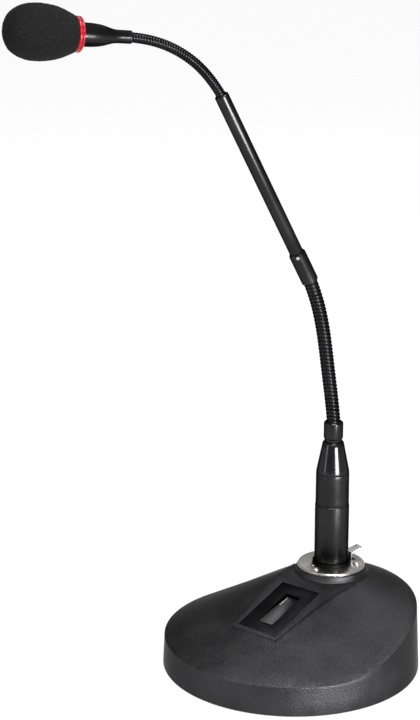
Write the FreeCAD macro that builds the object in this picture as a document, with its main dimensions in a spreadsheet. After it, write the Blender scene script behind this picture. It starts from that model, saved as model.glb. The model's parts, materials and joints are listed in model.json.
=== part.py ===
import FreeCAD, Part
import Sketcher
import math
import os

# Desktop gooseneck microphone.  Millimetres, +Z up, origin at the centre of the round base on the
# surface it stands on.  -Y is the side the talk panel faces; the socket stands at the rear, on X = 0.

SIZES = {
    # round base
    "base_radius": 70.2, "wall_lean": 0.05, "wall": 3.0, "base_clearance": 0.6,
    "rim_front": 16.2, "rim_rise": 20.8, "rise_start": -12.0, "rise_end": 78.0, "rise_heading": 65.5,
    "crown_height": 41.6, "crown_top_radius": 22.0, "crown_softness": 7.0,
    # underside
    "pad_radius": 48.0, "pad_thickness": 1.4,
    "plate_thickness": 1.5, "plate_radius": 66.1,
    "post_radius": 4.0, "post_offset": 38.0,
    "ballast_radius": 43.0, "ballast_thickness": 6.0, "ballast_lift": 0.6, "ballast_y": -4.0,
    "ballast_screw_offset": 30.0,
    # talk panel, laid on the sloping front of the crown
    "panel_width": 25.0, "panel_length": 40.4, "panel_centre_y": -11.0, "panel_centre_z": 34.4,
    "panel_slope": 16.8, "platform_front_width": 29.0, "platform_back_width": 43.0,
    "platform_front": -33.0, "platform_back": 31.0,
    "bezel_sink": 0.25, "bezel_thickness": 1.2, "bezel_fit": 0.25, "ledge": 2.2,
    "bar_width": 9.0, "bar_length": 25.2, "bar_thickness": 2.95, "bar_sink": 0.3, "bar_gap": 0.5,
    "bar_drop": 1.5,
    "pin_radius": 0.8, "pin_back": 10.8, "pin_depth": 3.7, "pin_length": 13.0, "running_gap": 0.05,
    "ear_thickness": 1.6, "ear_drop": 3.6, "ear_width": 5.0,
    "lens_width": 1.5, "lens_length": 8.2, "lens_x": -3.75, "lens_y": 8.1, "lens_floor": 2.5,
    "button_ahead": 7.0, "plunger_radius": 1.6, "plunger_top": 3.95, "plunger_length": 4.4,
    "switch_side": 7.0, "switch_top": 6.4, "board_depth": 13.0, "board_thickness": 1.6,
    "board_width": 30.0, "board_length": 40.0, "board_post_x": 12.2, "board_post_y": 16.6,
    "board_post_radius": 2.4,
    # microphone socket in the boss
    "socket_y": 36.5, "boss_top": 44.9, "boss_top_radius": 19.4, "boss_foot_radius": 23.0,
    "flange_radius": 18.7, "flange_thickness": 1.8, "flange_bevel": 0.5, "flange_hole": 10.5,
    "flange_screw_circle": 14.3, "index_hole_circle": 12.4, "index_hole_heading": -114.0,
    "socket_bore": 9.95, "socket_outer": 12.0, "socket_lip": 1.8, "socket_lip_radius": 10.4,
    "socket_floor": 22.0, "socket_floor_thickness": 2.0, "socket_insert_radius": 7.6,
    "socket_insert_top": 43.6, "contact_circle": 3.9, "contact_radius": 1.7, "contact_length": 17.0,
    "latch_heading": 68.0, "latch_reach": 13.4, "latch_width": 6.0, "latch_thickness": 0.9,
    "latch_height": 4.4, "latch_pad": 8.0, "latch_depth": 8.0,
    # output connector in the rear wall
    "output_height": 17.5, "output_face": 68.0, "output_width": 26.0, "output_tall": 31.0,
    "output_flange": 1.4, "output_radius": 11.2, "output_bore": 9.6, "output_depth": 14.5,
    "output_pin_radius": 1.2, "output_pin_circle": 4.6, "output_screw_x": 9.5, "output_screw_z": 12.0,
    # plug and preamplifier tube
    "plug_mouth": 27.5, "plug_radius": 9.5, "plug_bore": 8.3, "seam_height": 81.6, "seam_gap": 0.4,
    "tube_radius": 9.2, "tube_bore": 8.0, "cap_base": 100.0, "cap_top": 118.0, "cap_top_radius": 5.9,
    "cap_bore": 4.2, "ferrule_radius": 5.35, "ferrule_neck_radius": 4.9, "ferrule_top": 129.4,
    "plug_insert_floor": 45.0, "plug_insert_thickness": 7.0, "plug_pin_radius": 1.2,
    "plug_pin_tip": 30.0, "preamp_width": 12.0, "preamp_length": 32.0, "preamp_floor": 56.0,
    # necks, links and the rigid tube between them
    "neck_heading": -116.0, "neck_start": 130.0,
    "lower_link": 13.45, "lower_radius": 3.85, "link_gap": 0.9, "link_chamfer": 0.45, "link_bore": 1.6,
    "tube_tilt": 27.0, "collar_length": 19.6, "collar_radius": 4.6, "collar_top_radius": 4.05,
    "middle_tube_length": 117.3, "middle_tube_radius": 3.72, "middle_tube_bore": 2.7,
    "set_screw_radius": 0.9, "set_screw_rise": 18.0, "set_screw_heading": -53.0,
    "upper_link": 9.8, "upper_radius": 2.65,
    # head
    "head_tilt": 84.0, "sleeve_radius": 3.35, "sleeve_flare_start": 8.5, "sleeve_flare_middle": 15.0,
    "sleeve_flare_end": 22.0, "sleeve_middle_radius": 5.1, "sleeve_wide_radius": 6.0,
    "sleeve_length": 28.0, "ring_radius": 9.0, "ring_width": 3.0, "ring_bore": 6.4,
    "ring_channel_inner": 6.9, "ring_channel_outer": 8.0, "ring_channel_depth": 2.2,
    "capsule_radius": 6.0, "capsule_bore": 4.8, "capsule_end": 49.0, "element_length": 6.5,
    "foam_start": 31.2, "foam_mouth": 9.1, "foam_widest": 14.1, "foam_belly": 48.0, "foam_tip": 67.0,
    "foam_bore": 6.3, "foam_pocket_end": 50.0,
    # screws
    "screw_radius": 1.45, "screw_head": 2.6, "screw_head_height": 1.1, "screw_length": 8.0,
}
LOWER_TILTS = [7.0, 8.5, 8.0, 9.0, 13.0, 20.0]
UPPER_TILTS = [35.5, 43.0, 53.0, 61.5, 70.5, 79.0]

os.makedirs("parts", exist_ok=True)
doc = FreeCAD.newDocument("DesktopMicrophone")
sheet = doc.addObject("Spreadsheet::Sheet", "Size")
for row, (alias, amount) in enumerate(SIZES.items(), start=1):
    sheet.set("A%d" % row, alias)
    sheet.set("B%d" % row, str(amount))
    sheet.setAlias("B%d" % row, alias)
doc.recompute()

finished = []


def bound(text):
    """'wall + ledge' as an expression on the sheet: 'Size.wall + Size.ledge'."""
    words = text.replace("(", "( ").replace(")", " )").split()
    return " ".join("Size." + word if word in SIZES else word for word in words)


def number(text):
    return float(sheet.evalExpression(bound(text)))


def vector(x, y, z):
    return FreeCAD.Vector(x, y, z)


def keep(thing, label, placement=None):
    """Give a finished sub-part its name and place."""
    thing.Label = label
    if placement is not None:
        thing.Placement = placement
    finished.append(thing)
    return thing


def new_body(name):
    return doc.addObject("PartDesign::Body", name)


def plane_of(body, role):
    for feature in body.Origin.OriginFeatures:
        if feature.Role == role:
            return feature
    raise ValueError(role)


def new_sketch(body, name, role, lift=None):
    sketch = body.newObject("Sketcher::SketchObject", name)
    sketch.AttachmentSupport = [(plane_of(body, role), "")]
    sketch.MapMode = "FlatFace"
    if lift is not None:
        sketch.setExpression("AttachmentOffset.Base.z", bound(lift))
    return sketch


def pin_point(sketch, geometry, position, across, up):
    """Hold one point of the sketch at two distances from the origin, read from the sheet."""
    for kind, text in (("DistanceX", across), ("DistanceY", up)):
        amount = number(text)
        index = sketch.addConstraint(
            Sketcher.Constraint(kind, -1, 1, geometry, position, amount))
        sketch.setExpression("Constraints[%d]" % index, bound(text))


def arc_between(start, end, radius, turn):
    """Arc of a given radius from start to end; turn is 1 anticlockwise, -1 clockwise."""
    middle = (start + end) * 0.5
    half = (end - start).Length / 2
    side = vector(-(end - start).y, (end - start).x, 0).normalize() * turn
    centre = middle + side * math.sqrt(max(radius ** 2 - half ** 2, 0.0))
    first, last = (start, end) if turn > 0 else (end, start)
    begin = math.atan2(first.y - centre.y, first.x - centre.x)
    finish = math.atan2(last.y - centre.y, last.x - centre.x)
    return Part.ArcOfCircle(Part.Circle(centre, vector(0, 0, 1), radius), begin, finish)


def outline(sketch, corners):
    """Closed outline.  A corner is (across, up), or (across, up, radius, turn) before an arc."""
    points = [vector(number(corner[0]), number(corner[1]), 0) for corner in corners]
    ends = []
    for index, corner in enumerate(corners):
        start, end = points[index], points[(index + 1) % len(points)]
        if len(corner) == 2:
            ends.append((sketch.addGeometry(Part.LineSegment(start, end)), 1, 2))
        else:
            arc = arc_between(start, end, number(corner[2]), corner[3])
            geometry = sketch.addGeometry(arc)
            ends.append((geometry, 1, 2) if corner[3] > 0 else (geometry, 2, 1))
    for index, corner in enumerate(corners):
        geometry, first, last = ends[index]
        following = ends[(index + 1) % len(ends)]
        sketch.addConstraint(Sketcher.Constraint("Coincident", geometry, last, following[0], following[1]))
    for index, corner in enumerate(corners):
        pin_point(sketch, ends[index][0], ends[index][1], corner[0], corner[1])
        if len(corner) == 4:
            radius = sketch.addConstraint(
                Sketcher.Constraint("Radius", ends[index][0], number(corner[2])))
            sketch.setExpression("Constraints[%d]" % radius, bound(corner[2]))


def circles(sketch, rings):
    """Circles, each (across, up, radius)."""
    for across, up, radius in rings:
        centre = vector(number(across), number(up), 0)
        geometry = sketch.addGeometry(Part.Circle(centre, vector(0, 0, 1), number(radius)))
        pin_point(sketch, geometry, 3, across, up)
        index = sketch.addConstraint(Sketcher.Constraint("Radius", geometry, number(radius)))
        sketch.setExpression("Constraints[%d]" % index, bound(radius))


def rectangle(width, length, x="0", y="0"):
    """Corners of a rectangle centred at x, y."""
    return [("%s - %s / 2" % (x, width), "%s - %s / 2" % (y, length)),
            ("%s + %s / 2" % (x, width), "%s - %s / 2" % (y, length)),
            ("%s + %s / 2" % (x, width), "%s + %s / 2" % (y, length)),
            ("%s - %s / 2" % (x, width), "%s + %s / 2" % (y, length))]


def turned(name, corners):
    """Body turned about its own Z axis from an outline of (radius, height) corners."""
    body = new_body(name)
    sketch = new_sketch(body, name + "Outline", "XZ_Plane")
    outline(sketch, corners)
    turning = body.newObject("PartDesign::Revolution", name + "Turning")
    turning.Profile = sketch
    turning.ReferenceAxis = (sketch, ["V_Axis"])
    turning.Angle = 360
    sketch.Visibility = False
    return body


def pad(body, sketch, height, reverse=False):
    feature = body.newObject("PartDesign::Pad", sketch.Name + "Pad")
    feature.Profile = sketch
    feature.setExpression("Length", bound(height))
    feature.Reversed = reverse
    return feature


def pocket(body, sketch, depth=None, both_ways=False):
    """Cut below the sketch, or right through both ways."""
    feature = body.newObject("PartDesign::Pocket", sketch.Name + "Pocket")
    feature.Profile = sketch
    if both_ways:
        feature.Type = 1
        feature.Midplane = True
    else:
        feature.setExpression("Length", bound(depth))
    return feature


def through(body, name, role, rings=None, corners=None):
    """Cut circles or an outline right through a body."""
    sketch = new_sketch(body, name, role)
    if rings:
        circles(sketch, rings)
    else:
        outline(sketch, corners)
    return pocket(body, sketch, both_ways=True)


def tube_corners(inner, outer, low, high):
    return [(inner, low), (outer, low), (outer, high), (inner, high)]


def around(radius, headings, start=0.0):
    """Points on a circle about the Z axis at headings in degrees."""
    return [vector(radius * math.cos(math.radians(start + heading)),
                   radius * math.sin(math.radians(start + heading)), 0) for heading in headings]


def group(label, master, placements):
    """Identical solids in one sub-part, copied from one master body."""
    doc.recompute()
    copies = []
    for placement in placements:
        copy = master.Shape.copy()
        copy.Placement = placement.multiply(master.Placement)
        copies.append(copy)
    thing = doc.addObject("Part::Feature", label + "_group")
    thing.Shape = Part.makeCompound(copies)
    return keep(thing, label)


def at(x, y, z, rotation=None):
    return FreeCAD.Placement(vector(x, y, z), rotation or FreeCAD.Rotation())


# ---------------------------------------------------------------- places
FORWARD = around(1.0, [number("neck_heading")])[0]
BEND_AXIS = vector(0, 0, 1).cross(FORWARD)
SOCKET = at(0, number("socket_y"), 0)
FLANGE_TOP = "boss_top + flange_thickness"


def leaning(tilt, start):
    """Placement with Z leaned towards the neck's heading."""
    return FreeCAD.Placement(start, FreeCAD.Rotation(BEND_AXIS, tilt))


def neck_point(start, tilt, length):
    return start + leaning(tilt, vector(0, 0, 0)).multVec(vector(0, 0, length))


def on_panel(x, y, z):
    """A placement in the sloping panel's own frame: Z is its normal, +Y runs up the slope."""
    slope = FreeCAD.Rotation(vector(1, 0, 0), number("panel_slope"))
    centre = vector(0, number("panel_centre_y"), number("panel_centre_z"))
    return FreeCAD.Placement(centre, slope).multiply(at(x, y, z))


# ---------------------------------------------------------------- housing surface
def rim_height(x, y):
    """Height of the rim: low at the front, rising to the rear and a little to one side."""
    heading = math.radians(number("rise_heading"))
    along = x * math.cos(heading) + y * math.sin(heading)
    part = (along - number("rise_start")) / (number("rise_end") - number("rise_start"))
    part = min(max(part, 0.0), 1.0)
    return number("rim_front") + number("rim_rise") * part * part * (3 - 2 * part)


def softened(distance, softness):
    """Distance past an edge, with the corner at the edge rounded off."""
    return 0.5 * (distance + math.sqrt(distance ** 2 + softness ** 2))


def crown_grid(drop, reach, count):
    """Square grid of points on the crown, a given drop below the outer skin."""
    radius, top = number("base_radius"), number("crown_top_radius")
    centre, height = number("socket_y"), number("crown_height")
    softness = number("crown_softness")
    grid = []
    for column in range(count):
        line = []
        for row in range(count):
            x = reach * (2.0 * column / (count - 1) - 1)
            y = reach * (2.0 * row / (count - 1) - 1)
            away = max(math.hypot(x, y - centre), 0.001)
            east, north = x / away, (y - centre) / away
            middle = north * centre
            to_rim = -middle + math.sqrt(middle ** 2 - centre ** 2 + radius ** 2)
            rim = rim_height(east * to_rim, centre + north * to_rim)
            part = softened(away - top, softness) / softened(to_rim - top, softness)
            line.append(vector(x, y, height - (height - rim) * part - drop))
        grid.append(line)
    return grid


def below_crown(drop):
    """Solid under the crown's surface."""
    surface = Part.BSplineSurface()
    surface.interpolate(crown_grid(drop, 72.0, 49))
    return surface.toShape().extrude(vector(0, 0, -120))


def drum(inset, floor):
    """The round outside of the base, drawn in by inset and starting at floor."""
    radius = number("base_radius") - inset
    lean = number("wall_lean")
    return Part.makeCone(radius - lean * floor, radius - lean * 70.0, 70.0 - floor, vector(0, 0, floor))


def panel_block(width, length, low, high, y=0.0):
    """Block in the panel's frame."""
    block = Part.makeBox(width, length, high - low, vector(-width / 2, y - length / 2, low))
    block.Placement = on_panel(0, 0, 0)
    return block


def platform():
    """The raised wedge that carries the panel, from the boss down to the panel's front end."""
    front, back = number("platform_front"), number("platform_back")
    narrow, wide = number("platform_front_width") / 2, number("platform_back_width") / 2
    plan = [vector(-narrow, front, 0), vector(narrow, front, 0), vector(wide, back, 0),
            vector(-wide, back, 0), vector(-narrow, front, 0)]
    wedge = Part.Face(Part.makePolygon(plan)).extrude(vector(0, 0, 70))
    cap = Part.makeBox(80, 140, number("crown_height"), vector(-40, -80, 0.4))
    return wedge.common(panel_block(80, 140, -60, 0)).common(cap)


def boss():
    """Round boss under the socket flange, with a hollow flank."""
    top, foot = number("boss_top"), number("crown_height") - 6
    inner, outer = number("boss_top_radius"), number("boss_foot_radius")
    flank = Part.Arc(vector(inner, 0, top), vector(inner + 1.0, 0, top - 2.6), vector(outer, 0, top - 5.2))
    edges = [flank.toShape(),
             Part.makeLine(vector(outer, 0, top - 5.2), vector(outer, 0, foot)),
             Part.makeLine(vector(outer, 0, foot), vector(0, 0, foot)),
             Part.makeLine(vector(0, 0, foot), vector(0, 0, top)),
             Part.makeLine(vector(0, 0, top), vector(inner, 0, top))]
    solid = Part.Face(Part.Wire(edges)).revolve(vector(0, 0, 0), vector(0, 0, 1), 360)
    solid.translate(vector(0, number("socket_y"), 0))
    return solid


def upright(x, y, radius, low, high):
    return Part.makeCylinder(radius, high - low, vector(x, y, low))


def board_post(x, y, radius, low, high):
    post = Part.makeCylinder(radius, high - low, vector(x, y, low))
    post.Placement = on_panel(0, 0, 0)
    return post


CORNERS = [(sign_x, sign_y) for sign_x in (-1, 1) for sign_y in (-1, 1)]


def make_housing():
    wall, floor = number("wall"), number("base_clearance")
    plate_top = number("pad_thickness + plate_thickness") + 0.05
    skin = below_crown(0).fuse(platform()).common(drum(0, floor)).fuse(boss())
    hollow = below_crown(wall).common(drum(wall, floor - 0.1))
    hollow = hollow.cut(upright(0, number("socket_y"), number("boss_foot_radius"), 38, 60))
    shell = skin.cut(hollow)
    offset, post_x, post_y = number("post_offset"), number("board_post_x"), number("board_post_y")
    for sign_x, sign_y in CORNERS:
        post = upright(sign_x * offset, sign_y * offset, number("post_radius"), plate_top, 45)
        shell = shell.fuse(post.common(below_crown(1.0)))
        shell = shell.fuse(board_post(sign_x * post_x, sign_y * post_y, number("board_post_radius"),
                                      -number("board_depth") + 0.05, -3.2))
    pilot = number("screw_radius") + 0.05
    for sign_x, sign_y in CORNERS:
        shell = shell.cut(upright(sign_x * offset, sign_y * offset, pilot, 0, 12.5))
        shell = shell.cut(board_post(sign_x * post_x, sign_y * post_y, 1.05,
                                     -number("board_depth") - 1, -number("board_depth") + 6))
    # opening and ledge for the talk panel
    fit = 2 * number("bezel_fit")
    width, length = number("panel_width"), number("panel_length")
    ledge = number("ledge")
    ledge_depth = number("bezel_sink + bezel_thickness") + 0.05
    shell = shell.cut(panel_block(width + fit, length + fit, -ledge_depth, 5))
    shell = shell.cut(panel_block(width - 2 * ledge, length - 2 * ledge, -9, 0))
    # bore for the socket, screw holes in the boss, latch slot
    shell = shell.cut(upright(0, number("socket_y"), number("socket_outer") + 0.1, 30, 60))
    for spot in around(number("flange_screw_circle"), (-90, 30, 150)):
        shell = shell.cut(upright(spot.x, number("socket_y") + spot.y, pilot, 34, 60))
    slot_width = number("latch_width") + 1.4
    slot = Part.makeBox(5.0, slot_width, 9.5, vector(9.6, -slot_width / 2, 36))
    slot.rotate(vector(0, 0, 0), vector(0, 0, 1), number("latch_heading"))
    slot.translate(vector(0, number("socket_y"), 0))
    shell = shell.cut(slot)
    # flat and hole for the output connector in the rear wall
    face, height = number("output_face"), number("output_height")
    shell = shell.cut(Part.makeBox(40, 10, 34.5, vector(-20, face, floor - 1)))
    bore = Part.makeCylinder(number("output_radius") + 0.2, 30, vector(0, 50, height), vector(0, 1, 0))
    shell = shell.cut(bore)
    for sign in (-1, 1):
        spot = vector(sign * number("output_screw_x"), 55, height + sign * number("output_screw_z"))
        shell = shell.cut(Part.makeCylinder(pilot, 20, spot, vector(0, 1, 0)))
    solids = sorted(shell.Solids, key=lambda solid: solid.Volume)
    return solids[-1].removeSplitter()


housing = doc.addObject("Part::Feature", "Housing")
housing.Shape = make_housing()
keep(housing, "base_housing", at(0, 0, 0))

# ---------------------------------------------------------------- screws
def screw(name, scale):
    """Cross-head screw, head up, with the underside of the head at the origin."""
    half_slot, arm = "screw_head * %s * 0.16" % scale, "screw_head * %s * 0.6" % scale
    radius, head = "screw_radius * %s" % scale, "screw_head * %s" % scale
    rise, depth = "screw_head_height * %s" % scale, "- screw_length * %s" % scale
    body = turned(name, [("0", depth), (radius, depth), (radius, "0"), (head, "0"),
                         (head, rise + " * 0.45"), (head + " * 0.72", rise), ("0", rise)])
    sketch = new_sketch(body, name + "Cross", "XY_Plane", rise)
    low_slot, low_arm = "- " + half_slot, "- " + arm
    plus = [(half_slot, half_slot), (half_slot, arm), (low_slot, arm), (low_slot, half_slot),
            (low_arm, half_slot), (low_arm, low_slot), (low_slot, low_slot), (low_slot, low_arm),
            (half_slot, low_arm), (half_slot, low_slot), (arm, low_slot), (arm, half_slot)]
    outline(sketch, plus)
    pocket(body, sketch, "screw_head_height * %s * 0.6" % scale)
    return body


UPSIDE_DOWN = FreeCAD.Rotation(vector(1, 0, 0), 180)
small_screw = screw("SmallScrew", "0.72")
large_screw = screw("LargeScrew", "1.0")
offset = number("post_offset")
plate_under = number("pad_thickness")
group("bottom_screws", large_screw,
      [at(sign_x * offset, sign_y * offset, plate_under - 0.02, UPSIDE_DOWN) for sign_x, sign_y in CORNERS])
group("flange_screws", small_screw,
      [at(spot.x, spot.y + number("socket_y"), number(FLANGE_TOP) + 0.02)
       for spot in around(number("flange_screw_circle"), (-90, 30, 150))])
group("board_screws", small_screw,
      [on_panel(sign_x * number("board_post_x"), sign_y * number("board_post_y"),
                -number("board_depth + board_thickness") - 0.05).multiply(at(0, 0, 0, UPSIDE_DOWN))
       for sign_x, sign_y in CORNERS])
FACING_REAR = FreeCAD.Rotation(vector(1, 0, 0), -90)
group("output_screws", small_screw,
      [at(sign * number("output_screw_x"), number("output_face + output_flange") + 0.02,
          number("output_height") + sign * number("output_screw_z"), FACING_REAR) for sign in (-1, 1)])

# ---------------------------------------------------------------- underside
plate = turned("BottomPlate", [("0", "pad_thickness"), ("plate_radius", "pad_thickness"),
                               ("plate_radius", "pad_thickness + plate_thickness"),
                               ("0", "pad_thickness + plate_thickness")])
through(plate, "PlateScrewHoles", "XY_Plane", rings=[
    ("%d * post_offset" % sign_x, "%d * post_offset" % sign_y, "screw_radius + 0.15")
    for sign_x, sign_y in CORNERS])
through(plate, "PlateBallastHoles", "XY_Plane", rings=[
    ("%d * ballast_screw_offset" % sign, "ballast_y", "screw_radius + 0.05") for sign in (-1, 1)])
through(plate, "PlateConnectorNotch", "XY_Plane", corners=rectangle("output_width + 2", "20", y="64.5"))
keep(plate, "bottom_plate")

BALLAST_FLOOR = "pad_thickness + plate_thickness + ballast_lift"
BALLAST_TOP = BALLAST_FLOOR + " + ballast_thickness"
ballast = turned("Ballast", tube_corners("4", "ballast_radius", BALLAST_FLOOR, BALLAST_TOP))
through(ballast, "BallastScrewHoles", "XY_Plane", rings=[
    ("%d * ballast_screw_offset" % sign, "0", "screw_radius + 0.15") for sign in (-1, 1)])
keep(ballast, "ballast_weight", at(0, number("ballast_y"), 0))
group("ballast_screws", large_screw,
      [at(sign * number("ballast_screw_offset"), number("ballast_y"), number(BALLAST_TOP) + 0.02)
       for sign in (-1, 1)])

keep(turned("RubberPad", [("0", "0"), ("pad_radius - 0.4", "0"), ("pad_radius", "0.4"),
                          ("pad_radius", "pad_thickness"), ("0", "pad_thickness")]), "rubber_pad")

# ---------------------------------------------------------------- talk panel
BEZEL_TOP = "- bezel_sink"
BEZEL_UNDER = "- bezel_sink - bezel_thickness"
BAR_TOP = "- bezel_sink - bar_sink"
BAR_UNDER = "- bezel_sink - bar_sink - bar_thickness"


def slope_top(body, name, lower="0"):
    """Cut the top of a piece of the bar to the bar's slope, which sinks towards the rear."""
    front, rear = BAR_TOP + " - " + lower, BAR_TOP + " - bar_drop - " + lower
    through(body, name, "YZ_Plane", corners=[
        ("- bar_length / 2", front), ("bar_length / 2", rear),
        ("bar_length / 2", "2"), ("- bar_length / 2", "2")])


bezel = new_body("Bezel")
bezel_plan = new_sketch(bezel, "BezelPlan", "XY_Plane", BEZEL_UNDER)
outline(bezel_plan, rectangle("panel_width", "panel_length"))
pad(bezel, bezel_plan, "bezel_thickness")
through(bezel, "BarWindow", "XY_Plane",
        corners=rectangle("( bar_width + 2 * bar_gap )", "( bar_length + 2 * bar_gap )"))
for side in (-1, 1):
    centre = "%d * ( bar_width / 2 + bar_gap + ear_thickness / 2 )" % side
    ear = new_sketch(bezel, "Ear%s" % ("Left" if side < 0 else "Right"), "XY_Plane", BEZEL_UNDER)
    outline(ear, rectangle("ear_thickness", "ear_width", x=centre, y="pin_back"))
    pad(bezel, ear, "ear_drop", reverse=True)
through(bezel, "PinHoles", "YZ_Plane", rings=[("pin_back", "- pin_depth", "pin_radius + 0.02")])
keep(bezel, "panel_bezel", on_panel(0, 0, 0))

bar = new_body("TalkBar")
bar_plan = new_sketch(bar, "BarPlan", "XY_Plane", BAR_UNDER)
outline(bar_plan, rectangle("bar_width", "bar_length"))
pad(bar, bar_plan, "bar_thickness")
lug = new_sketch(bar, "BarLug", "YZ_Plane")
circles(lug, [("pin_back", "- pin_depth", "1.7")])
lug_pad = pad(bar, lug, "bar_width")
lug_pad.Midplane = True
through(bar, "BarPinHole", "YZ_Plane", rings=[("pin_back", "- pin_depth", "pin_radius + running_gap")])
slope_top(bar, "BarSlope")
seat = new_sketch(bar, "LensSeat", "XY_Plane")
outline(seat, rectangle("( lens_width + 0.1 )", "( lens_length + 0.1 )", x="lens_x", y="lens_y"))
pocket(bar, seat, "lens_floor")
keep(bar, "talk_bar", on_panel(0, 0, 0))

lens = new_body("Lens")
lens_plan = new_sketch(lens, "LensPlan", "XY_Plane", "- lens_floor + 0.03")
outline(lens_plan, rectangle("lens_width", "lens_length", x="lens_x", y="lens_y"))
pad(lens, lens_plan, "lens_floor - 0.03")
slope_top(lens, "LensSlope", "0.12")
keep(lens, "indicator_lens", on_panel(0, 0, 0))

ACROSS = FreeCAD.Rotation(vector(0, 1, 0), 90)
hinge_pin = turned("HingePin", [("0", "- pin_length / 2"), ("pin_radius", "- pin_length / 2"),
                                ("pin_radius", "pin_length / 2"), ("0", "pin_length / 2")])
keep(hinge_pin, "bar_hinge_pin",
     on_panel(0, number("pin_back"), -number("pin_depth")).multiply(at(0, 0, 0, ACROSS)))

plunger = turned("Plunger", [("0", "- plunger_top - plunger_length"),
                             ("plunger_radius", "- plunger_top - plunger_length"),
                             ("plunger_radius", "- plunger_top"), ("0", "- plunger_top")])
keep(plunger, "switch_plunger", on_panel(0, -number("button_ahead"), 0))

switch = new_body("SwitchBody")
switch_plan = new_sketch(switch, "SwitchPlan", "XY_Plane", "- board_depth + 0.05")
outline(switch_plan, rectangle("switch_side", "switch_side"))
pad(switch, switch_plan, "board_depth - switch_top - 0.05")
well = new_sketch(switch, "PlungerWell", "XY_Plane", "- switch_top")
circles(well, [("0", "0", "plunger_radius + 0.35")])
pocket(switch, well, "4.0")
keep(switch, "switch_body", on_panel(0, -number("button_ahead"), 0))

board = new_body("CircuitBoard")
board_plan = new_sketch(board, "BoardPlan", "XY_Plane", "- board_depth - board_thickness")
outline(board_plan, rectangle("board_width", "board_length"))
pad(board, board_plan, "board_thickness")
through(board, "BoardHoles", "XY_Plane", rings=[
    ("%d * board_post_x" % sign_x, "%d * board_post_y" % sign_y, "screw_radius * 0.72 + 0.15")
    for sign_x, sign_y in CORNERS])
keep(board, "circuit_board", on_panel(0, 0, 0))

# ---------------------------------------------------------------- microphone socket
flange = turned("SocketFlange", [("flange_hole", "boss_top"), ("flange_radius", "boss_top"),
                                 ("flange_radius", "boss_top + flange_thickness - flange_bevel"),
                                 ("flange_radius - flange_bevel", FLANGE_TOP), ("flange_hole", FLANGE_TOP)])
screw_spots = around(1.0, (-90, 30, 150))
through(flange, "FlangeScrewHoles", "XY_Plane", rings=[
    ("flange_screw_circle * %.6f" % spot.x, "flange_screw_circle * %.6f" % spot.y,
     "screw_radius * 0.72 + 0.1")
    for spot in screw_spots])
index_spot = around(1.0, [number("index_hole_heading")])[0]
through(flange, "IndexHole", "XY_Plane", rings=[
    ("index_hole_circle * %.6f" % index_spot.x, "index_hole_circle * %.6f" % index_spot.y, "0.55")])
latch_spot = around(1.0, [number("latch_heading")])[0]
latch_side = vector(-latch_spot.y, latch_spot.x, 0)


def slot_corner(reach, side):
    """One corner of the latch slot, reach out from the axis and side to side."""
    return tuple("( %s ) * %.6f + ( %s ) * %.6f" % (reach, getattr(latch_spot, axis),
                                                    side, getattr(latch_side, axis)) for axis in "xy")


def slot_corners(reach, half):
    """The latch slot, from inside the bore out to reach."""
    return [slot_corner("9", "- ( %s )" % half), slot_corner(reach, "- ( %s )" % half),
            slot_corner(reach, half), slot_corner("9", half)]


through(flange, "LatchSlot", "XY_Plane",
        corners=slot_corners("latch_reach + latch_thickness", "latch_width / 2 + 0.5"))
keep(flange, "socket_flange", SOCKET)

socket = turned("SocketBody", [("0", "socket_floor"), ("socket_outer", "socket_floor"),
                               ("socket_outer", "boss_top - 0.05"),
                               ("socket_lip_radius", "boss_top - 0.05"),
                               ("socket_lip_radius", FLANGE_TOP + " + socket_lip"),
                               ("socket_bore", FLANGE_TOP + " + socket_lip"),
                               ("socket_bore", "socket_floor + socket_floor_thickness"),
                               ("0", "socket_floor + socket_floor_thickness")])
through(socket, "SocketPinHoles", "XY_Plane", rings=[
    ("contact_circle * %.6f" % spot.x, "contact_circle * %.6f" % spot.y, "contact_radius + 0.05")
    for spot in screw_spots])
latch_gap = new_sketch(socket, "LatchGap", "XY_Plane", FLANGE_TOP + " + socket_lip + 0.1")
outline(latch_gap, slot_corners("14", "latch_width / 2 + 0.4"))
pocket(socket, latch_gap, "flange_thickness + socket_lip + latch_depth + 0.6")
keep(socket, "socket_body", SOCKET)

socket_insert = turned("SocketInsert", [
    ("0", "socket_floor + socket_floor_thickness + 0.05"),
    ("socket_insert_radius", "socket_floor + socket_floor_thickness + 0.05"),
    ("socket_insert_radius", "socket_insert_top - 0.6"),
    ("socket_insert_radius - 0.6", "socket_insert_top"),
    ("0", "socket_insert_top")])
through(socket_insert, "ContactHoles", "XY_Plane", rings=[
    ("contact_circle * %.6f" % spot.x, "contact_circle * %.6f" % spot.y, "contact_radius + 0.05")
    for spot in screw_spots])
keep(socket_insert, "socket_insert", SOCKET)

contact = turned("Contact", tube_corners("plug_pin_radius + running_gap", "contact_radius",
                                         "socket_insert_top - contact_length", "socket_insert_top - 0.3"))
group("socket_contacts", contact,
      [at(spot.x * number("contact_circle"), spot.y * number("contact_circle") + number("socket_y"), 0)
       for spot in screw_spots])

# The latch stands in the slot behind the plug; its pad leans outwards above the flange.
latch = new_body("Latch")
latch_side_view = new_sketch(latch, "LatchSideView", "XZ_Plane")
outline(latch_side_view, [
    ("latch_reach - 2.2", FLANGE_TOP + " - latch_depth"),
    ("latch_reach - 2.2 + latch_thickness", FLANGE_TOP + " - latch_depth"),
    ("latch_reach - 2.2 + latch_thickness", FLANGE_TOP + " + latch_height - 1"),
    ("latch_reach + latch_pad - 2.2", FLANGE_TOP + " + latch_height + 0.8"),
    ("latch_reach + latch_pad - 2.4", FLANGE_TOP + " + latch_height + 1.8"),
    ("latch_reach - 2.2", FLANGE_TOP + " + latch_height")])
latch_pad = pad(latch, latch_side_view, "latch_width")
latch_pad.Midplane = True
LATCH_PLACE = FreeCAD.Placement(vector(0, number("socket_y"), 0),
                                FreeCAD.Rotation(vector(0, 0, 1), number("latch_heading")))
keep(latch, "latch_tab", LATCH_PLACE)

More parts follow.
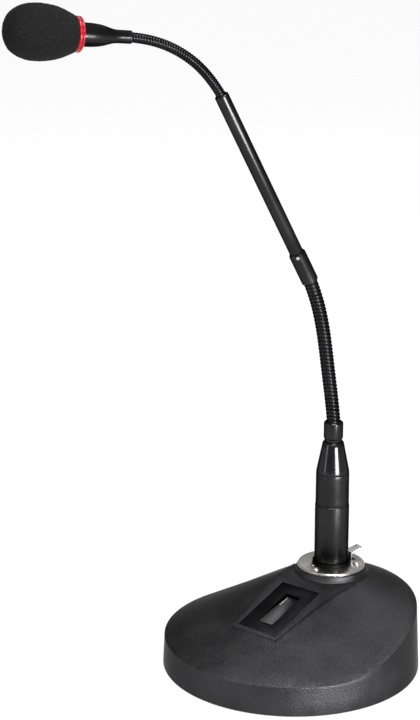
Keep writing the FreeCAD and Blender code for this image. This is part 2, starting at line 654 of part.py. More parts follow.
# ---------------------------------------------------------------- output connector
output = turned("OutputShell", [("0", "0"), ("output_radius", "0"),
                                ("output_radius", "output_depth + 2"), ("output_bore", "output_depth + 2"),
                                ("output_bore", "2"), ("0", "2")])
output_flange = new_sketch(output, "OutputFlange", "XY_Plane", "output_depth + 2 - output_flange")
outline(output_flange, rectangle("output_width", "output_tall"))
circles(output_flange, [("0", "0", "output_radius - 0.5")])
pad(output, output_flange, "output_flange")
through(output, "OutputScrewHoles", "XY_Plane", rings=[
    ("%d * output_screw_x" % sign, "%d * output_screw_z" % -sign, "screw_radius * 0.72 + 0.1")
    for sign in (-1, 1)])
through(output, "OutputPinHoles", "XY_Plane", rings=[
    ("output_pin_circle * %.6f" % spot.x, "output_pin_circle * %.6f" % spot.y, "output_pin_radius + 0.02")
    for spot in screw_spots])
OUTPUT_PLACE = at(0, number("output_face + output_flange - output_depth - 2") + 0.02,
                  number("output_height"), FACING_REAR)
keep(output, "output_connector", OUTPUT_PLACE)
output_pin = turned("OutputPin", [("0", "- 2"), ("output_pin_radius", "- 2"),
                                  ("output_pin_radius", "output_depth - 1.5"),
                                  ("output_pin_radius - 0.5", "output_depth - 0.5"),
                                  ("0", "output_depth - 0.5")])
group("output_pins", output_pin,
      [OUTPUT_PLACE.multiply(FreeCAD.Placement(spot * number("output_pin_circle"), FreeCAD.Rotation()))
       for spot in screw_spots])

# ---------------------------------------------------------------- plug, preamplifier tube, cap
keep(turned("PlugShell", [("plug_bore", "plug_mouth"), ("plug_radius", "plug_mouth"),
                          ("plug_radius", "seam_height - 0.3"), ("plug_radius - 0.3", "seam_height"),
                          ("plug_bore", "seam_height")]), "plug_shell", SOCKET)
keep(turned("PreampTube", [("tube_bore", "seam_height + seam_gap"),
                           ("tube_radius + 0.1", "seam_height + seam_gap"),
                           ("tube_radius", "cap_base"), ("tube_bore", "cap_base")]), "preamp_tube", SOCKET)
keep(turned("SeamRing", tube_corners("plug_bore + 0.1", "plug_radius - 0.6",
                                     "seam_height + 0.02", "seam_height + seam_gap - 0.02")),
     "seam_ring", SOCKET)
keep(turned("PlugCap", [("cap_bore", "cap_base + 0.05"), ("tube_radius - 0.05", "cap_base + 0.05"),
                        ("tube_radius - 0.05", "cap_base + 1"), ("cap_top_radius", "cap_top - 0.8"),
                        ("cap_top_radius - 0.6", "cap_top"), ("cap_bore", "cap_top")]), "plug_cap", SOCKET)
keep(turned("Ferrule", [("1.6", "cap_base + 4"), ("cap_bore - 0.05", "cap_base + 4"),
                        ("cap_bore - 0.05", "cap_top + 0.3"), ("ferrule_neck_radius", "cap_top + 0.3"),
                        ("ferrule_neck_radius", "cap_top + 1.6"), ("ferrule_radius", "cap_top + 2.2"),
                        ("ferrule_radius", "ferrule_top - 0.7"), ("ferrule_radius - 0.7", "ferrule_top"),
                        ("1.6", "ferrule_top")]), "neck_ferrule", SOCKET)
plug_insert = turned("PlugInsert", [
    ("0", "plug_insert_floor"), ("plug_bore - 0.05", "plug_insert_floor"),
    ("plug_bore - 0.05", "plug_insert_floor + plug_insert_thickness"),
    ("0", "plug_insert_floor + plug_insert_thickness")])
through(plug_insert, "PlugPinHoles", "XY_Plane", rings=[
    ("contact_circle * %.6f" % spot.x, "contact_circle * %.6f" % spot.y, "plug_pin_radius + 0.02")
    for spot in screw_spots])
keep(plug_insert, "plug_insert", SOCKET)
plug_pin = turned("PlugPin", [("0", "plug_pin_tip"), ("plug_pin_radius - 0.5", "plug_pin_tip"),
                              ("plug_pin_radius", "plug_pin_tip + 1"),
                              ("plug_pin_radius", "plug_insert_floor + plug_insert_thickness + 2"),
                              ("0", "plug_insert_floor + plug_insert_thickness + 2")])
group("plug_pins", plug_pin,
      [at(spot.x * number("contact_circle"), spot.y * number("contact_circle") + number("socket_y"), 0)
       for spot in screw_spots])
preamp = new_body("PreampBoard")
preamp_plan = new_sketch(preamp, "PreampPlan", "XY_Plane", "preamp_floor")
outline(preamp_plan, rectangle("preamp_width", "board_thickness"))
pad(preamp, preamp_plan, "preamp_length")
keep(preamp, "preamp_board", SOCKET)


# ---------------------------------------------------------------- necks
def neck_link(name, radius, length):
    """One length of flexible neck between two of its bending points."""
    low, high = "link_gap", length + " - link_gap"
    return turned(name, [("link_bore", low), (radius + " - link_chamfer", low),
                         (radius, low + " + link_chamfer"), (radius, high + " - link_chamfer"),
                         (radius + " - link_chamfer", high), ("link_bore", high)])


def neck(label, start, tilts, radius, length):
    """Chain of links; returns the point where the next piece begins."""
    point = start
    for count, tilt in enumerate(tilts, start=1):
        link = neck_link("%sLink%d" % (label.capitalize(), count), radius, length)
        keep(link, "%s_neck_link_%d" % (label, count), leaning(tilt, point))
        point = neck_point(point, tilt, number(length))
    return point


neck_base = vector(0, number("socket_y"), number("neck_start"))
tube_base = neck("lower", neck_base, LOWER_TILTS, "lower_radius", "lower_link")
tube_place = leaning(number("tube_tilt"), tube_base)
collar = turned("Collar", [("middle_tube_radius + 0.03", "0.9"), ("collar_radius - 0.6", "0.9"),
                           ("collar_radius", "1.5"), ("collar_radius", "collar_length - 1.2"),
                           ("collar_top_radius", "collar_length"),
                           ("middle_tube_radius + 0.03", "collar_length")])
set_screw_hole = new_sketch(collar, "SetScrewHole", "YZ_Plane")
circles(set_screw_hole, [("0", "set_screw_rise", "set_screw_radius + 0.03")])
pocket(collar, set_screw_hole, "20").Reversed = True
SET_SCREW_TURN = FreeCAD.Rotation(vector(0, 0, 1), number("set_screw_heading"))
collar_place = tube_place.multiply(at(0, 0, 0, SET_SCREW_TURN))
keep(collar, "neck_collar", collar_place)
set_screw = turned("SetScrew", [("0", "middle_tube_radius + 0.05"),
                                ("set_screw_radius", "middle_tube_radius + 0.05"),
                                ("set_screw_radius", "collar_radius + 0.1"),
                                ("0", "collar_radius + 0.1")])
keep(set_screw, "collar_set_screw",
     collar_place.multiply(at(0, 0, number("set_screw_rise"), FreeCAD.Rotation(vector(0, 1, 0), 90))))
keep(turned("MiddleTube", [("middle_tube_bore", "1.0"), ("middle_tube_radius", "1.0"),
                           ("middle_tube_radius", "middle_tube_length - 1.4"),
                           ("middle_tube_radius - 0.5", "middle_tube_length - 0.9"),
                           ("middle_tube_bore", "middle_tube_length - 0.9")]), "middle_tube", tube_place)
upper_base = neck_point(tube_base, number("tube_tilt"), number("middle_tube_length"))
head_base = neck("upper", upper_base, UPPER_TILTS, "upper_radius", "upper_link")

# ---------------------------------------------------------------- head
HEAD = leaning(number("head_tilt"), head_base)
RING_BACK = "sleeve_length + 0.1"
keep(turned("Sleeve", [("1.8", "0.9"), ("sleeve_radius - 0.8", "0.9"), ("sleeve_radius", "1.7"),
                       ("sleeve_radius", "sleeve_flare_start"),
                       ("sleeve_middle_radius", "sleeve_flare_middle"),
                       ("sleeve_wide_radius", "sleeve_flare_end"),
                       ("sleeve_wide_radius", "sleeve_length"), ("1.8", "sleeve_length")]),
     "capsule_sleeve", HEAD)
keep(turned("LightRing", [("ring_bore", RING_BACK), ("ring_channel_inner", RING_BACK),
                          ("ring_channel_inner", RING_BACK + " + ring_channel_depth"),
                          ("ring_channel_outer", RING_BACK + " + ring_channel_depth"),
                          ("ring_channel_outer", RING_BACK), ("ring_radius - 0.4", RING_BACK),
                          ("ring_radius", RING_BACK + " + 0.4"),
                          ("ring_radius", RING_BACK + " + ring_width - 0.4"),
                          ("ring_radius - 0.4", RING_BACK + " + ring_width"),
                          ("ring_bore", RING_BACK + " + ring_width")]), "light_ring", HEAD)
keep(turned("LampBoard", tube_corners("ring_channel_inner + 0.08", "ring_channel_outer - 0.08",
                                      RING_BACK + " + 0.05", RING_BACK + " + 0.8")), "lamp_board", HEAD)
lamp = new_body("Lamp")
lamp_plan = new_sketch(lamp, "LampPlan", "XY_Plane", RING_BACK + " + 0.85")
outline(lamp_plan, rectangle("0.8", "1.9", x="( ring_channel_inner + ring_channel_outer ) / 2"))
pad(lamp, lamp_plan, "0.8")
group("ring_lamps", lamp,
      [HEAD.multiply(at(0, 0, 0, FreeCAD.Rotation(vector(0, 0, 1), turn))) for turn in range(0, 360, 60)])
keep(turned("CapsuleHousing", [("0", "sleeve_length + 0.05"), ("capsule_radius", "sleeve_length + 0.05"),
                               ("capsule_radius", "capsule_end - 0.8"),
                               ("capsule_radius - 0.8", "capsule_end"),
                               ("capsule_bore", "capsule_end"),
                               ("capsule_bore", "capsule_end - element_length - 0.6"),
                               ("0", "capsule_end - element_length - 0.6")]), "capsule_housing", HEAD)
keep(turned("Element", [("0", "capsule_end - element_length - 0.5"),
                        ("capsule_bore - 0.05", "capsule_end - element_length - 0.5"),
                        ("capsule_bore - 0.05", "capsule_end - 0.6"), ("0", "capsule_end - 0.6")]),
     "capsule_element", HEAD)
keep(turned("Foam", [("foam_bore", "foam_start"), ("foam_mouth", "foam_start"),
                     ("foam_widest - 2.3", "foam_start + 5.5"),
                     ("foam_widest - 0.6", "foam_start + 12"),
                     ("foam_widest", "foam_belly"),
                     ("foam_widest", "foam_tip - foam_widest", "foam_widest", 1), ("0", "foam_tip"),
                     ("0", "foam_pocket_end"), ("foam_bore", "foam_pocket_end")]), "foam_windscreen", HEAD)

# ---------------------------------------------------------------- check and write
doc.recompute()
for thing in doc.Objects:
    if "Invalid" in thing.State or "Error" in thing.State:
        raise RuntimeError("%s is %s" % (thing.Label, thing.State))
for thing in finished:
    if thing.Shape.isNull() or not thing.Shape.isValid():
        raise RuntimeError("%s has no valid shape" % thing.Label)
    thing.Shape.exportStep(os.path.join("parts", thing.Label + ".step"))
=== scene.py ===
import json
import math

import bpy
from mathutils import Matrix, Vector, noise


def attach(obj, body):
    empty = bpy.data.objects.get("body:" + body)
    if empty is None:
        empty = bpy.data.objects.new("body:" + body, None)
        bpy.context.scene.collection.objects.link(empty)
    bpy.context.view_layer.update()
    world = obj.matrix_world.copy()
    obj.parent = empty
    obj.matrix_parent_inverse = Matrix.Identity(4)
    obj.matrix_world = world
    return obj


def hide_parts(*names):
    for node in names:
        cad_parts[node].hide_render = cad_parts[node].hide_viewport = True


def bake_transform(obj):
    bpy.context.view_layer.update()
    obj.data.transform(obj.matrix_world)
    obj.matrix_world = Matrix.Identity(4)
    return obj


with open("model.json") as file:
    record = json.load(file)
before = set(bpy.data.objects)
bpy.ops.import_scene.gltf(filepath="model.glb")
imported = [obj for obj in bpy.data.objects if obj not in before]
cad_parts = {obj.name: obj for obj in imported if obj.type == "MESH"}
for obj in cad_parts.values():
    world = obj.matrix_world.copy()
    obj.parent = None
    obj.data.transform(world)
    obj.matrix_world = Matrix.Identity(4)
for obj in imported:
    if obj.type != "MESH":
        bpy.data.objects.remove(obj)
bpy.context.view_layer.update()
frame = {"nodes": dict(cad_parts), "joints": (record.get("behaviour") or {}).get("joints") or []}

MM = 0.001
SOCKET_Y = 36.5 * MM
NECK_HEADING = math.radians(-116)
TUBE_TILT = math.radians(27)
HEAD_TILT = math.radians(84)
LATCH_HEADING = math.radians(68)
LINKS = 6
NOISE_LOW, NOISE_HIGH = 0.3, 0.7
# Span of the fine grain whose tops get the painted highlight.
GRAIN_HIGHLIGHT_FROM, GRAIN_HIGHLIGHT_TO = 0.56, 0.72

FORWARD = Vector((math.cos(NECK_HEADING), math.sin(NECK_HEADING), 0))
BEND_AXIS = Vector((0, 0, 1)).cross(FORWARD)
JOINTS = {joint["name"]: joint for joint in frame["joints"]}


# ---------------------------------------------------------------- materials
def node(tree, kind, **values):
    """New shader node; values are its sockets or its own settings."""
    made = tree.nodes.new(kind)
    for key, value in values.items():
        label = key.replace("_", " ")
        if label in made.inputs:
            made.inputs[label].default_value = value
        else:
            setattr(made, key, value)
    return made


def spread(tree, source, low, high):
    """A noise value, which stays near a half, spread over low to high."""
    mapped = node(tree, "ShaderNodeMapRange")
    mapped.inputs["From Min"].default_value = NOISE_LOW
    mapped.inputs["From Max"].default_value = NOISE_HIGH
    mapped.inputs["To Min"].default_value = low
    mapped.inputs["To Max"].default_value = high
    tree.links.new(source, mapped.inputs["Value"])
    return mapped.outputs["Result"]


def material(name, color, rough, metal=0.0, grain=1500.0, bump=0.05, depth=0.0001, vary=0.25,
             patches=45.0, rough_vary=0.08, grain_tip_highlight=0.0, fixed=None):
    """Painted, moulded or plated surface: fine grain over wide soft patches.

    grain and patches are noise scales per metre; the tip amount paints a highlight on the tops of the
    grain, lighter colour in place of light catching them."""
    made = bpy.data.materials.new(name)
    made.use_nodes = True
    tree = made.node_tree
    shader = tree.nodes["Principled BSDF"]
    shader.inputs["Metallic"].default_value = metal
    for key, value in (fixed or {}).items():
        shader.inputs[key].default_value = value
    place = node(tree, "ShaderNodeTexCoord").outputs["Object"]
    fine = node(tree, "ShaderNodeTexNoise", Scale=grain, Detail=3.0, Roughness=0.6)
    wide = node(tree, "ShaderNodeTexNoise", Scale=patches, Detail=4.0, Roughness=0.55)
    for texture in (fine, wide):
        tree.links.new(place, texture.inputs["Vector"])
    shade = node(tree, "ShaderNodeMix", data_type="RGBA")
    shade.inputs["A"].default_value = [channel * (1 - vary) for channel in color] + [1]
    shade.inputs["B"].default_value = [channel * (1 + vary) for channel in color] + [1]
    blend = node(tree, "ShaderNodeMath", operation="ADD")
    tree.links.new(spread(tree, wide.outputs["Fac"], 0.0, 0.6), blend.inputs[0])
    tree.links.new(spread(tree, fine.outputs["Fac"], 0.0, 0.4), blend.inputs[1])
    tree.links.new(blend.outputs["Value"], shade.inputs["Factor"])
    colour = shade.outputs["Result"]
    # Painted highlight: the tops of the fine grain get a lighter colour, standing in for light catching
    # them.
    if grain_tip_highlight:
        lifted = node(tree, "ShaderNodeMix", data_type="RGBA")
        lifted.inputs["B"].default_value = [min(channel * 3 + 0.03, 1) for channel in color] + [1]
        mask = node(tree, "ShaderNodeMapRange")
        mask.inputs["From Min"].default_value = GRAIN_HIGHLIGHT_FROM
        mask.inputs["From Max"].default_value = GRAIN_HIGHLIGHT_TO
        mask.inputs["To Max"].default_value = grain_tip_highlight
        tree.links.new(fine.outputs["Fac"], mask.inputs["Value"])
        tree.links.new(mask.outputs["Result"], lifted.inputs["Factor"])
        tree.links.new(colour, lifted.inputs["A"])
        colour = lifted.outputs["Result"]
    tree.links.new(colour, shader.inputs["Base Color"])
    tree.links.new(spread(tree, wide.outputs["Fac"], rough - rough_vary, rough + rough_vary),
                   shader.inputs["Roughness"])
    relief = node(tree, "ShaderNodeBump", Strength=bump, Distance=depth)
    tree.links.new(fine.outputs["Fac"], relief.inputs["Height"])
    tree.links.new(relief.outputs["Normal"], shader.inputs["Normal"])
    return made


def turned_metal(name, color, rough, line_scale):
    """Plated metal with fine concentric turning lines about the socket's axis."""
    made = material(name, color, rough, metal=1.0, grain=900.0, bump=0.04, vary=0.12)
    tree = made.node_tree
    shader = tree.nodes["Principled BSDF"]
    place = node(tree, "ShaderNodeTexCoord").outputs["Object"]
    centred = node(tree, "ShaderNodeMapping")
    centred.inputs["Location"].default_value = (0, -SOCKET_Y, 0)
    tree.links.new(place, centred.inputs["Vector"])
    lines = node(tree, "ShaderNodeTexWave", wave_type="RINGS", rings_direction="Z", Scale=line_scale,
                 Distortion=0.6, Detail=2.0)
    tree.links.new(centred.outputs["Vector"], lines.inputs["Vector"])
    relief = node(tree, "ShaderNodeBump", Strength=0.08, Distance=0.00005)
    tree.links.new(lines.outputs["Fac"], relief.inputs["Height"])
    previous = shader.inputs["Normal"].links[0].from_socket
    tree.links.new(previous, relief.inputs["Normal"])
    tree.links.new(relief.outputs["Normal"], shader.inputs["Normal"])
    return made


DARK_EDGE = {"Specular Tint": (0.35, 0.35, 0.35, 1)}
SOFT_EDGE = {"Specular Tint": (0.5, 0.5, 0.5, 1)}
# The housing and foam looks carry a painted highlight on their grain tops.
LOOKS = {
    "housing": material("powder_coat", (0.040, 0.040, 0.042), 0.4, metal=1.0, grain=1250.0, bump=0.9,
                        depth=0.00022, vary=0.25, grain_tip_highlight=0.08, fixed=SOFT_EDGE),
    "satin": material("satin_black", (0.028, 0.028, 0.029), 0.26, metal=1.0, grain=2200.0, bump=0.06,
                      fixed=DARK_EDGE),
    "gloss": material("gloss_black", (0.030, 0.030, 0.0315), 0.17, metal=1.0, grain=1800.0, bump=0.02,
                      rough_vary=0.03, fixed=DARK_EDGE),
    "wire": material("wound_wire", (0.018, 0.018, 0.019), 0.24, metal=1.0, grain=2600.0, bump=0.06,
                     fixed=DARK_EDGE),
    "panel": material("panel_black", (0.016, 0.016, 0.017), 0.4, metal=1.0, grain=2600.0, bump=0.08,
                      fixed=DARK_EDGE),
    "bar": material("bar_grey", (0.075, 0.075, 0.078), 0.42, metal=1.0, grain=2400.0, bump=0.18,
                    depth=0.00008, fixed=DARK_EDGE),
    "plastic": material("moulded_black", (0.012, 0.012, 0.012), 0.45, metal=1.0, grain=1900.0, bump=0.15,
                        fixed=DARK_EDGE),
    "lens": material("smoked_lens", (0.004, 0.004, 0.004), 0.1, grain=900.0, bump=0.02,
                     rough_vary=0.03),
    # Pale grey for the painted highlight strip by the talk bar; it gives no light.
    "highlight_paint": material("painted_highlight", (0.5, 0.5, 0.5), 0.2, grain=900.0, bump=0.05),
    "nickel": turned_metal("satin_nickel", (0.44, 0.425, 0.40), 0.26, 900.0),
    "plated": material("plated_steel", (0.52, 0.51, 0.49), 0.32, metal=1.0, grain=1400.0, bump=0.1,
                       vary=0.15),
    "gold": material("contact_plating", (0.75, 0.55, 0.25), 0.28, metal=1.0, grain=1600.0, bump=0.05),
    "board": material("solder_mask", (0.015, 0.09, 0.03), 0.35, grain=700.0, bump=0.1),
    "rubber": material("rubber_black", (0.012, 0.012, 0.012), 0.75, grain=1000.0, bump=0.3),
    "iron": material("cast_iron", (0.09, 0.09, 0.09), 0.7, metal=0.6, grain=500.0, bump=0.5,
                     depth=0.0003),
    "foam": material("open_foam", (0.003, 0.003, 0.0032), 0.9, grain=1500.0, bump=1.0, depth=0.0006,
                     vary=0.5, grain_tip_highlight=0.35, fixed={"Specular IOR Level": 0.15}),
    "glow": material("lit_red", (0.26, 0.003, 0.010), 0.22, grain=600.0, bump=0.03, vary=0.12,
                     fixed={"Emission Color": (0.9, 0.012, 0.03, 1), "Emission Strength": 0.05,
                            "Specular IOR Level": 0.4}),
}

NODE_LOOKS = {
    "housing": ["base_housing"],
    "satin": ["plug_shell", "preamp_tube", "neck_ferrule", "neck_collar", "middle_tube",
              "bottom_plate"],
    "gloss": ["plug_cap"],
    "panel": ["panel_bezel"],
    "bar": ["talk_bar"],
    "lens": ["indicator_lens"],
    "plastic": ["socket_body", "socket_insert", "plug_insert", "switch_plunger", "switch_body"],
    "nickel": ["socket_flange", "output_connector"],
    "plated": ["latch_tab", "flange_screws", "output_screws", "board_screws", "bottom_screws",
               "ballast_screws", "collar_set_screw", "bar_hinge_pin", "capsule_housing",
               "capsule_element"],
    "gold": ["socket_contacts", "plug_pins", "output_pins"],
    "board": ["circuit_board", "preamp_board", "lamp_board"],
    "rubber": ["rubber_pad", "seam_ring"],
    "iron": ["ballast_weight"],
    "glow": ["ring_lamps"],
}


def dress(thing, look):
    """Put a look on every material slot of an object."""
    if not thing.material_slots:
        thing.data.materials.append(LOOKS[look])
    for place in thing.material_slots:
        place.material = LOOKS[look]


for look, names in NODE_LOOKS.items():
    for name in names:
        dress(frame["nodes"][name], look)


# ---------------------------------------------------------------- edges of the hard pieces
EDGE_ROUND = {"base_housing": 0.9, "panel_bezel": 0.15, "talk_bar": 0.5, "socket_flange": 0.12,
              "latch_tab": 0.2, "output_connector": 0.3, "plug_shell": 0.15, "preamp_tube": 0.15,
              "plug_cap": 0.2, "neck_ferrule": 0.2, "middle_tube": 0.12, "flange_screws": 0.1,
              "output_screws": 0.1, "indicator_lens": 0.1}


def soften_edges(thing, width):
    """Join the faces' shared edges and round the sharp ones."""
    weld = thing.modifiers.new("weld", "WELD")
    weld.merge_threshold = 0.002 * MM
    bevel = thing.modifiers.new("edges", "BEVEL")
    bevel.width = width * MM
    bevel.segments = 3
    bevel.limit_method = "ANGLE"
    bevel.angle_limit = math.radians(33)
    bevel.harden_normals = True
    thing.data.polygons.foreach_set("use_smooth", [True] * len(thing.data.polygons))


for name, width in EDGE_ROUND.items():
    soften_edges(frame["nodes"][name], width)


# ---------------------------------------------------------------- mesh makers
def mesh_piece(name, verts, faces, look):
    mesh = bpy.data.meshes.new(name)
    mesh.from_pydata(verts, [], faces)
    mesh.validate()
    mesh.polygons.foreach_set("use_smooth", [True] * len(mesh.polygons))
    mesh.update()
    piece = bpy.data.objects.new(name, mesh)
    bpy.context.scene.collection.objects.link(piece)
    dress(piece, look)
    return piece


def tube_faces(rows, around):
    """Quads between rings of points, each ring a closed round of the same count."""
    faces = []
    for row in range(rows - 1):
        for step in range(around):
            following = (step + 1) % around
            faces.append((row * around + step, row * around + following,
                          (row + 1) * around + following, (row + 1) * around + step))
    return faces


def leaning(point, tilt):
    """Matrix with Z leaned towards the neck's heading, standing at point."""
    return Matrix.Translation(point) @ Matrix.Rotation(tilt, 4, BEND_AXIS)


def smooth_line(points, steps):
    """Catmull-Rom line through flat points, steps to each stretch."""
    line = []
    padded = [points[0]] + list(points) + [points[-1]]
    for index in range(1, len(padded) - 2):
        a, b, c, d = padded[index - 1:index + 3]
        for step in range(steps):
            t = step / steps
            line.append(tuple(
                0.5 * (2 * b[k] + (c[k] - a[k]) * t + (2 * a[k] - 5 * b[k] + 4 * c[k] - d[k]) * t ** 2
                       + (3 * b[k] - a[k] - 3 * c[k] + d[k]) * t ** 3) for k in range(2)))
    line.append(tuple(points[-1]))
    return line


# ---------------------------------------------------------------- necks
ROWS_PER_TURN = 9
RIDGE_SHARPNESS = 2.4
NECK_FOOT = 1.6
NECK_END = 2.2


def neck_joints(label):
    """The bending points of one neck from its foot up; bends and sways take turns."""
    order = ["%s_neck_%s_%d" % (label, "sway" if index % 2 else "bend", index // 2 + 1)
             for index in range(LINKS + 1)]
    return [JOINTS[name] for name in order]


def wound_neck(label, foot, head, radius, pitch, depth, around):
    """Wire-wound neck: one piece over each bending point, blended across it."""
    joints = neck_joints(label)
    points = [Vector(joint["pos_m"]) for joint in joints]
    middles = [foot] + [(a + b) / 2 for a, b in zip(points, points[1:])] + [head]
    travelled = 0.0
    for index, joint in enumerate(joints):
        start, bend, end = middles[index], points[index], middles[index + 1]
        length = (bend - start).length + (end - bend).length
        rows = math.ceil(length / pitch * ROWS_PER_TURN) + 1
        verts = []
        last = start
        for row in range(rows):
            t = row / (rows - 1)
            centre = start * (1 - t) ** 2 + bend * 2 * t * (1 - t) + end * t ** 2
            tangent = ((bend - start) * (1 - t) + (end - bend) * t).normalized()
            travelled += (centre - last).length
            last = centre
            normal = BEND_AXIS.cross(tangent)
            for step in range(around):
                angle = 2 * math.pi * step / around
                turn = (travelled / pitch - step / around) % 1.0
                ridge = abs(2 * turn - 1) ** RIDGE_SHARPNESS
                reach = radius - depth * ridge
                verts.append(centre + (BEND_AXIS * math.cos(angle) + normal * math.sin(angle)) * reach)
        faces = tube_faces(rows, around)
        faces.append(tuple(reversed(range(around))))
        faces.append(tuple(range((rows - 1) * around, rows * around)))
        piece = mesh_piece("%s_neck_wire_%d" % (label, index + 1), verts, faces, "wire")
        if index < LINKS:
            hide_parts("%s_neck_link_%d" % (label, index + 1))
        if index == 0:
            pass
        elif index == LINKS:
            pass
        else:
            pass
        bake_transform(piece)


tube_axis = FORWARD * math.sin(TUBE_TILT) + Vector((0, 0, math.cos(TUBE_TILT)))
head_axis = FORWARD * math.sin(HEAD_TILT) + Vector((0, 0, math.cos(HEAD_TILT)))
lower_points = [Vector(joint["pos_m"]) for joint in neck_joints("lower")]
upper_points = [Vector(joint["pos_m"]) for joint in neck_joints("upper")]
wound_neck("lower", lower_points[0] - Vector((0, 0, NECK_FOOT * MM)),
           lower_points[-1] + tube_axis * NECK_END * MM,
           radius=3.85 * MM, pitch=2.1 * MM, depth=0.55 * MM, around=36)
wound_neck("upper", upper_points[0] - tube_axis * NECK_END * MM,
           upper_points[-1] + head_axis * NECK_END * MM,
           radius=2.65 * MM, pitch=1.5 * MM, depth=0.38 * MM, around=30)

# ---------------------------------------------------------------- head
HEAD = leaning(upper_points[-1], HEAD_TILT)


def turned(name, profile, around, look, body, node_name, swell=None):
    """Piece turned about the head's axis from (radius, height) points in millimetres."""
    verts = []
    for radius, height in profile:
        for step in range(around):
            angle = 2 * math.pi * step / around
            spot = Vector((radius * math.cos(angle), radius * math.sin(angle), height))
            if swell:
                spot = swell(spot)
            verts.append(HEAD @ (spot * MM))
    faces = tube_faces(len(profile), around)
    rows = len(profile)
    faces.append(tuple(reversed(range(around))))
    faces.append(tuple(range((rows - 1) * around, rows * around)))
    piece = mesh_piece(name, verts, faces, look)
    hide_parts(node_name)
    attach(piece, body)
    return piece


FOAM_OUTLINE = [(6.4, 31.9), (7.9, 31.15), (9.0, 31.3), (9.9, 32.6), (11.7, 36.8), (13.05, 41.0),
                (13.8, 45.2), (14.1, 49.2), (13.95, 53.2), (13.2, 57.2), (11.75, 60.7),
                (9.6, 63.6), (6.7, 65.7), (3.3, 66.8), (0.9, 67.0), (0.05, 67.0)]
FOAM_SKIN_START = 31.5
FOAM_DOME = 53.0
CELL_SCALE, CELL_DEPTH = 1.15, 0.16
LUMP_SCALE, LUMP_DEPTH = 0.16, 0.1
SKIN_SINK = 0.1


def foam_grain(spot):
    """Pitted open-cell skin, in millimetres along the head's axis."""
    if spot.z < FOAM_SKIN_START:
        return spot
    centre = Vector((0, 0, min(spot.z, FOAM_DOME)))
    away = (spot - centre).normalized()
    finer = noise.noise(spot * (2 * CELL_SCALE) + Vector((7, 3, 5)))
    cells = noise.noise(spot * CELL_SCALE) + 0.6 * finer
    lumps = noise.noise(spot * LUMP_SCALE + Vector((2, 9, 4)))
    return spot + away * (CELL_DEPTH * cells + LUMP_DEPTH * lumps - SKIN_SINK)


foam = turned("foam_cover", smooth_line(FOAM_OUTLINE, 12), 230, "foam", "head",
              "foam_windscreen", swell=foam_grain)

RING_OUTLINE = [(6.5, 28.12), (8.3, 28.12), (8.65, 28.2), (8.9, 28.42), (8.97, 28.75), (8.9, 29.1),
                (8.6, 29.32), (8.35, 29.4), (8.35, 29.6), (8.6, 29.68), (8.9, 29.9), (8.97, 30.2),
                (8.95, 30.55), (8.8, 30.85), (8.5, 31.05), (6.5, 31.05)]
turned("glow_ring", RING_OUTLINE, 96, "glow", "head", "light_ring")

SLEEVE_OUTLINE = [(1.9, 0.95), (2.6, 0.95), (3.05, 1.05), (3.3, 1.4), (3.32, 5.0), (3.34, 8.0),
                  (3.6, 10.5), (4.25, 13.0), (5.0, 15.6), (5.5, 18.3), (5.8, 21.2), (5.92, 24.5),
                  (5.95, 27.7), (5.8, 27.95), (1.9, 27.95)]
turned("sleeve_skin", smooth_line(SLEEVE_OUTLINE, 5), 72, "satin", "head",
       "capsule_sleeve")

# ---------------------------------------------------------------- ribs on the latch pad
RIBS = 4
RIB_REACH, RIB_STEP = 12.9, 1.5
RIB_FOOT, RIB_RISE = 51.5, 0.346
RIB_SIDES = (-2.3, -2.1, 2.1, 2.3)
RIB_END = 2.2
RIB_ARCH = range(0, 181, 30)

latch_place = Matrix.Translation((0, SOCKET_Y, 0)) @ Matrix.Rotation(LATCH_HEADING, 4, "Z")
rib_verts, rib_faces = [], []
for rib in range(RIBS):
    reach, height = RIB_REACH + RIB_STEP * rib, RIB_FOOT + RIB_RISE * rib
    first = len(rib_verts)
    for side in RIB_SIDES:
        flat = 0.0 if abs(side) > RIB_END else 1.0
        for angle in RIB_ARCH:
            turn = math.radians(angle)
            rib_verts.append(latch_place @ (Vector((reach + 0.28 * math.cos(turn), side,
                                                    height + 0.26 * flat * math.sin(turn))) * MM))
    for row in range(len(RIB_SIDES) - 1):
        for step in range(len(RIB_ARCH) - 1):
            corner = first + row * len(RIB_ARCH) + step
            across = corner + len(RIB_ARCH)
            rib_faces.append((corner, corner + 1, across + 1, across))
ribs = mesh_piece("latch_ribs", rib_verts, rib_faces, "plated")
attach(ribs, "latch")

# ---------------------------------------------------------------- painted highlight: pale strip along the lens edge
PANEL = Matrix.Translation((0, -11.0 * MM, 34.4 * MM)) @ Matrix.Rotation(math.radians(16.8), 4, "X")
EDGE_START, EDGE_STEP, EDGE_ROWS = 4.3, 0.95, 9
EDGE_SECTION = ((-3.3, -0.16), (-3.22, 0.02), (-2.99, 0.06), (-2.97, -0.16))
BAR_SINK, BAR_DROP = 0.55, 1.5
BAR_HALF, BAR_LONG = 12.6, 25.2

edge_verts = []
for step in range(EDGE_ROWS):
    along = EDGE_START + EDGE_STEP * step
    top = -BAR_SINK - BAR_DROP * (along + BAR_HALF) / BAR_LONG
    edge_verts += [PANEL @ (Vector((across, along, top + lift)) * MM) for across, lift in EDGE_SECTION]
edge_faces = tube_faces(EDGE_ROWS, len(EDGE_SECTION)) + [(3, 2, 1, 0), (32, 33, 34, 35)]
# Pale strip painted where a highlight line shows on the bar's slot edge, not a lit part.
painted_highlight_strip = mesh_piece("painted_highlight_strip", edge_verts, edge_faces, "highlight_paint")
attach(painted_highlight_strip, "talk_bar")

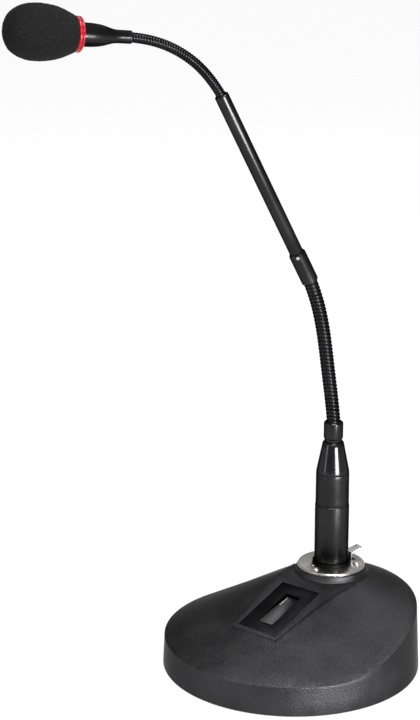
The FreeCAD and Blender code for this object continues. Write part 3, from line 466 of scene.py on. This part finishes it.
# ---------------------------------------------------------------- floor, light, camera
floor_mesh = bpy.data.meshes.new("floor")
SPAN = 9.0
floor_mesh.from_pydata([(-SPAN, -SPAN, 0), (SPAN, -SPAN, 0), (SPAN, SPAN, 0), (-SPAN, SPAN, 0)],
                       [], [(0, 1, 2, 3)])
floor = bpy.data.objects.new("floor", floor_mesh)
bpy.context.scene.collection.objects.link(floor)
paper = material("pale_floor", (0.1, 0.1, 0.1), 0.9, grain=60.0, bump=0.0, vary=0.01, patches=2.0,
                 fixed={"Emission Color": (1, 1, 1, 1), "Emission Strength": 0.88})
floor.data.materials.append(paper)


def softbox(name, heading, distance, height, width, tall, power, aim=0.18):
    """Area light at a heading round the object, facing it."""
    light = bpy.data.lights.new(name, "AREA")
    light.shape = "RECTANGLE"
    light.size = width
    light.size_y = tall
    light.energy = power
    lamp = bpy.data.objects.new(name, light)
    turn = math.radians(heading)
    lamp.location = (distance * math.cos(turn), distance * math.sin(turn), height)
    toward = Vector((0, 0, aim)) - lamp.location
    lamp.rotation_euler = toward.to_track_quat("-Z", "Y").to_euler()
    bpy.context.scene.collection.objects.link(lamp)


softbox("key", -20, 1.0, 0.16, 0.32, 0.3, 20, aim=0.16)
softbox("side", -112, 1.2, 0.4, 0.12, 0.7, 2.4)
softbox("front", -50, 1.1, 1.0, 1.3, 0.35, 7)
softbox("back", 118, 1.0, 1.25, 0.8, 0.5, 4)
softbox("top", -40, 0.4, 2.0, 0.9, 0.9, 40)

# The room that lights the object is dimmer than the backdrop that the camera sees.
world = bpy.data.worlds.new("studio")
world.use_nodes = True
sky = world.node_tree
dim = sky.nodes["Background"]
dim.inputs["Color"].default_value = (1, 1, 1, 1)
dim.inputs["Strength"].default_value = 0.4
seen = node(sky, "ShaderNodeBackground", Color=(1, 1, 1, 1), Strength=0.97)
pick = node(sky, "ShaderNodeMixShader")
sky.links.new(node(sky, "ShaderNodeLightPath").outputs["Is Camera Ray"], pick.inputs[0])
sky.links.new(dim.outputs["Background"], pick.inputs[1])
sky.links.new(seen.outputs["Background"], pick.inputs[2])
sky.links.new(pick.outputs["Shader"], sky.nodes["World Output"].inputs["Surface"])
bpy.context.scene.world = world
bpy.context.scene.view_settings.view_transform = "Standard"

camera_data = bpy.data.cameras.new("camera")
camera_data.lens = 100
camera_data.sensor_width = 36
camera = bpy.data.objects.new("camera", camera_data)
camera.location = (0.6088, -0.8083, 0.4714)
camera.rotation_euler = (math.radians(73.53), 0, math.radians(39.5))
bpy.context.scene.collection.objects.link(camera)
bpy.context.scene.camera = camera
